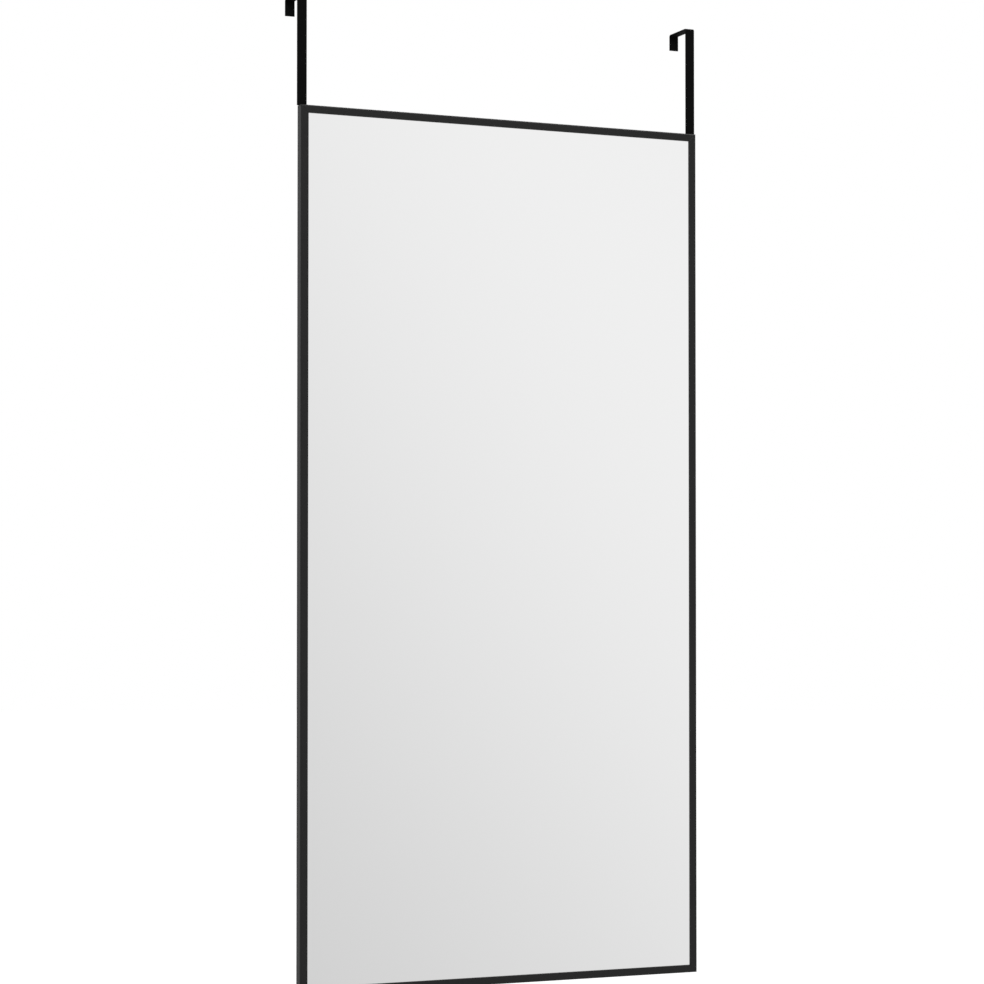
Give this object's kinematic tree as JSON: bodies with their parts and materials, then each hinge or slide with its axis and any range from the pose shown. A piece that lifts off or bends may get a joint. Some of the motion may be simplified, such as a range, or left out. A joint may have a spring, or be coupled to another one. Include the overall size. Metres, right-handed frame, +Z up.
{
  "type": "over-the-door mirror",
  "caption": "Tall rectangular mirror in a slim black mitred frame, carried by flat steel hangers that slide from its top corners and hook over a door.",
  "frame": {"origin": "on the top edge of the door, at its front face, midway between the two hooks: the hooks bear on Z = 0 and the back bumpers on Y = 0", "axes": "+Z up, +Y from the mirror's face back into the door, +X to the right seen from in front of the mirror"},
  "size_m": [0.504, 0.051, 1.128],
  "materials": {
    "frame_black": "extruded aluminium, satin black powder coat",
    "hanger_black": "bent flat steel, matte black powder coat",
    "silvered_glass": "3 mm float glass, silvered behind, polished",
    "film_white": "woven-backed polyethylene safety film, stuck to the back of the glass",
    "hardboard": "brown hardboard, smooth side out",
    "zinc_plated_steel": "bright zinc plate",
    "spring_steel": "blued spring steel strip",
    "bumper_rubber": "solid black rubber, moulded"
  },
  "bodies": {
    "mirror": {"top_rail": "frame_black", "bottom_rail": "frame_black", "mirror_glass": "silvered_glass", "safety_film": "film_white", "backing_board": "hardboard", "top_rail_spring_clip": "spring_steel", "bottom_rail_spring_clip": "spring_steel", "left_stile": "frame_black", "left_guide_sleeve": "zinc_plated_steel", "left_sleeve_screws": "zinc_plated_steel", "left_clamp_screws": "zinc_plated_steel", "left_top_bumper": "bumper_rubber", "left_bottom_bumper": "bumper_rubber", "left_top_corner_key": "zinc_plated_steel", "left_top_corner_screws": "zinc_plated_steel", "left_bottom_corner_key": "zinc_plated_steel", "left_bottom_corner_screws": "zinc_plated_steel", "left_upper_spring_clip": "spring_steel", "left_middle_spring_clip": "spring_steel", "left_lower_spring_clip": "spring_steel", "right_stile": "frame_black", "right_guide_sleeve": "zinc_plated_steel", "right_sleeve_screws": "zinc_plated_steel", "right_clamp_screws": "zinc_plated_steel", "right_top_bumper": "bumper_rubber", "right_bottom_bumper": "bumper_rubber", "right_top_corner_key": "zinc_plated_steel", "right_top_corner_screws": "zinc_plated_steel", "right_bottom_corner_key": "zinc_plated_steel", "right_bottom_corner_screws": "zinc_plated_steel", "right_upper_spring_clip": "spring_steel", "right_middle_spring_clip": "spring_steel", "right_lower_spring_clip": "spring_steel"},
    "left_hook": {"left_hanger": "hanger_black"},
    "right_hook": {"right_hanger": "hanger_black"}
  },
  "joints": [
    {"name": "left_hanger_slide", "type": "slide", "parent": "mirror", "child": "left_hook", "axis": [0, 0, 1], "range_m": [0, 0.03]},
    {"name": "right_hanger_slide", "type": "slide", "parent": "mirror", "child": "right_hook", "axis": [0, 0, 1], "range_m": [0, 0.03]}
  ]
}
